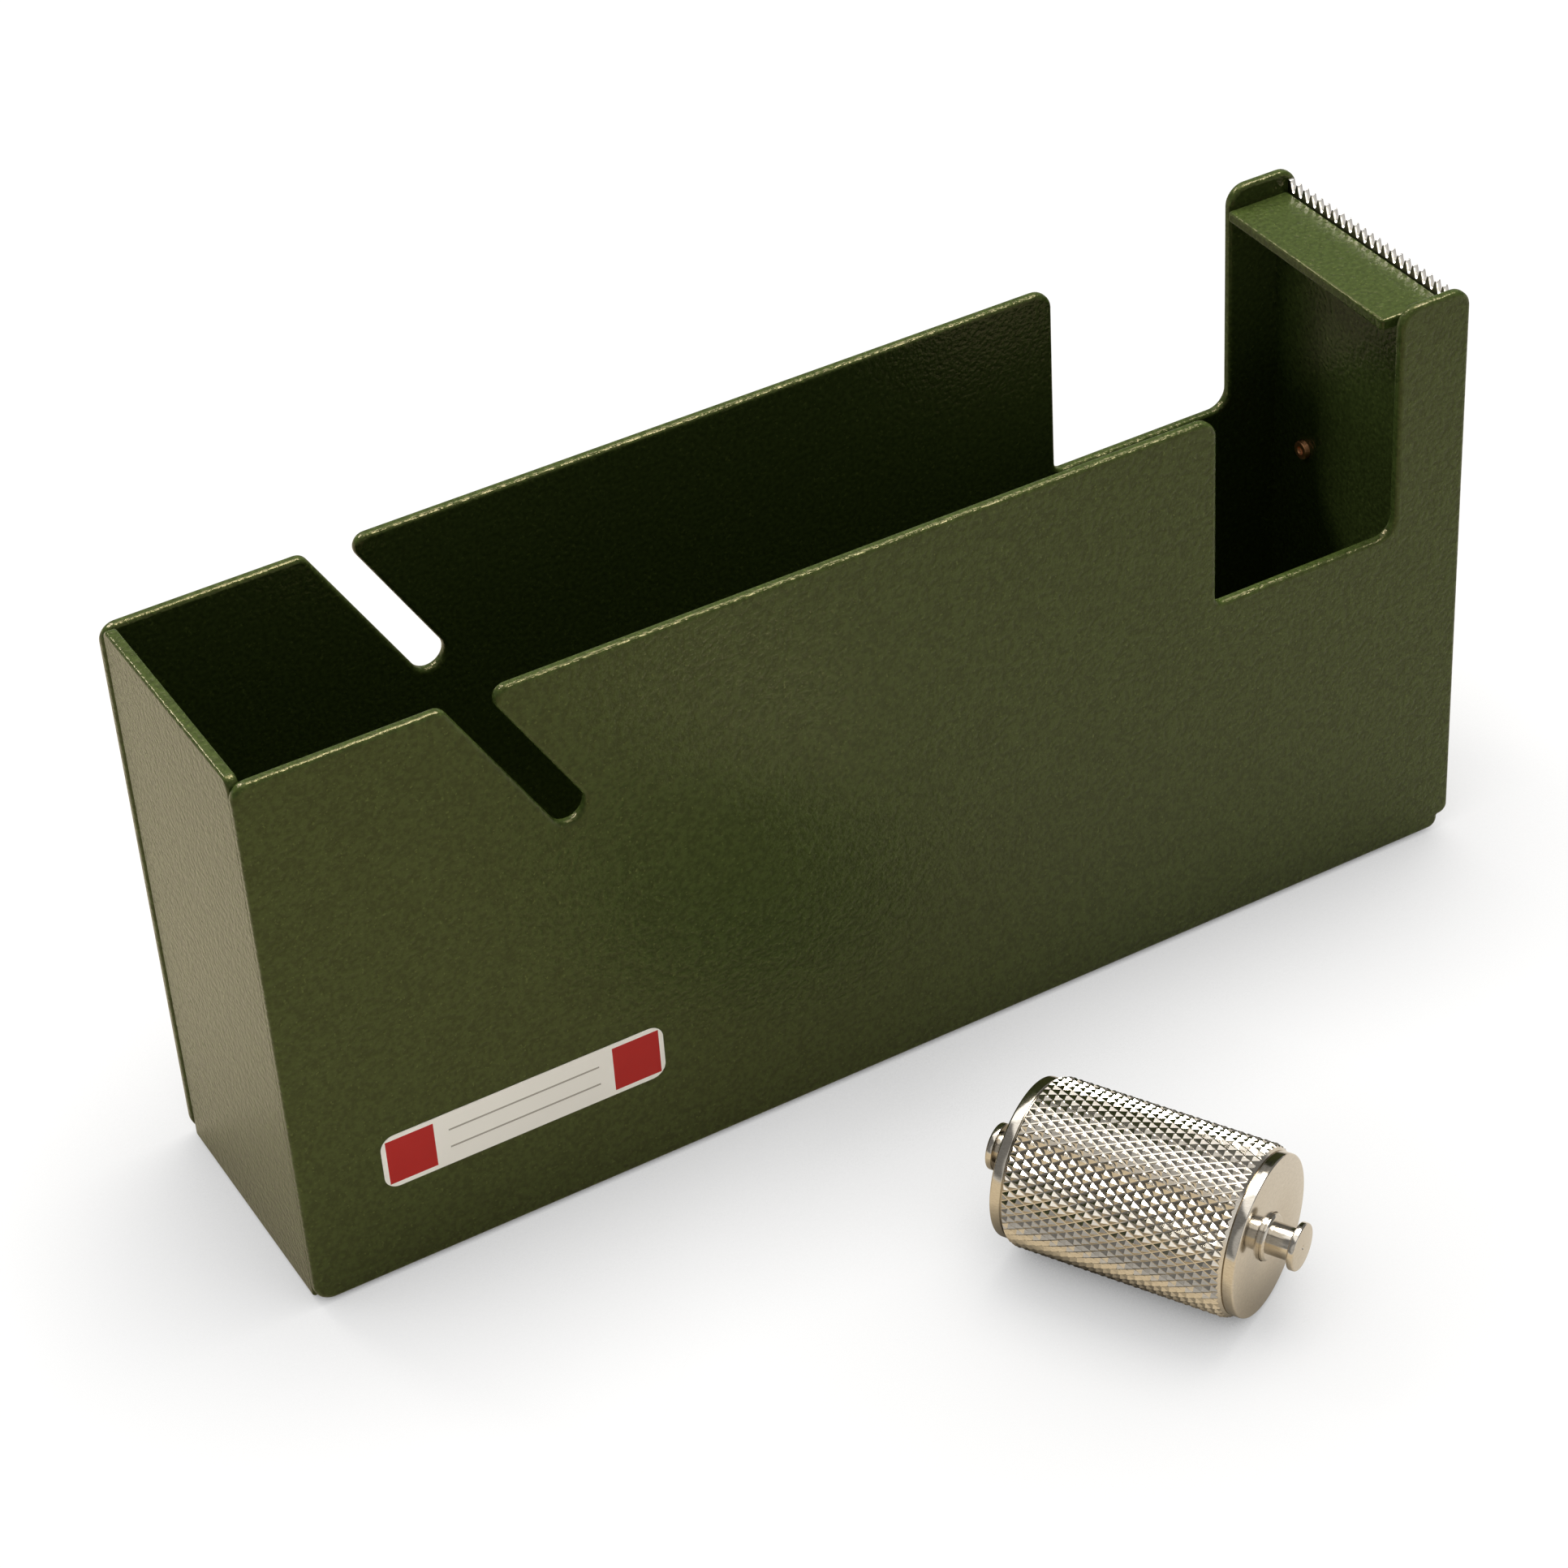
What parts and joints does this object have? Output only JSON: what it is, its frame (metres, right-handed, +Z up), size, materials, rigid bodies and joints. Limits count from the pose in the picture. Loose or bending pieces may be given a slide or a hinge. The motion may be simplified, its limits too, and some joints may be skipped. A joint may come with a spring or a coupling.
{
  "type": "tape dispenser",
  "caption": "Heavy painted steel desk dispenser for wide packing tape, with a saw-tooth cutter and a lift-out knurled roller that lies beside it.",
  "frame": {"origin": "centre of the body's footprint on the table, midway between the side plates' ends and outer faces", "axes": "+X along the body towards the cutter, +Y from the label side to the far side, +Z up"},
  "size_m": [0.264, 0.1647, 0.1317],
  "materials": {
    "painted_steel": "olive green textured powder coat",
    "blade_steel": "bright ground steel",
    "screw_zinc": "yellow zinc plate",
    "label_film": "plain red and cream film",
    "foot_rubber": "moulded black rubber",
    "roller_nickel": "bright nickel plate",
    "bush_bronze": "sintered bronze"
  },
  "bodies": {
    "dispenser_body": {"near_side_plate": "painted_steel", "far_side_plate": "painted_steel", "rear_wall": "painted_steel", "base_plate": "painted_steel", "front_wall": "painted_steel", "tape_shelf": "painted_steel", "cutter_blade": "blade_steel", "blade_screws": "screw_zinc", "blank_label": "label_film", "foot_rear_near": "foot_rubber", "foot_rear_far": "foot_rubber", "foot_front_near": "foot_rubber", "foot_front_far": "foot_rubber"},
    "axle": {"roller_axle": "roller_nickel"},
    "drum": {"roller_drum": "roller_nickel", "drum_cap_right": "roller_nickel", "drum_cap_left": "roller_nickel", "bush_right": "bush_bronze", "bush_left": "bush_bronze"}
  },
  "joints": [
    {"name": "roller_lift", "type": "slide", "parent": "dispenser_body", "child": "axle", "axis": [0, 0, 1], "range_m": [0, 0.15]},
    {"name": "roller_spin", "type": "hinge", "parent": "axle", "child": "drum", "pos_m": [0.0054, -0.1052, 0.01685], "axis": [0.5051, -0.863, 0], "continuous": true}
  ]
}
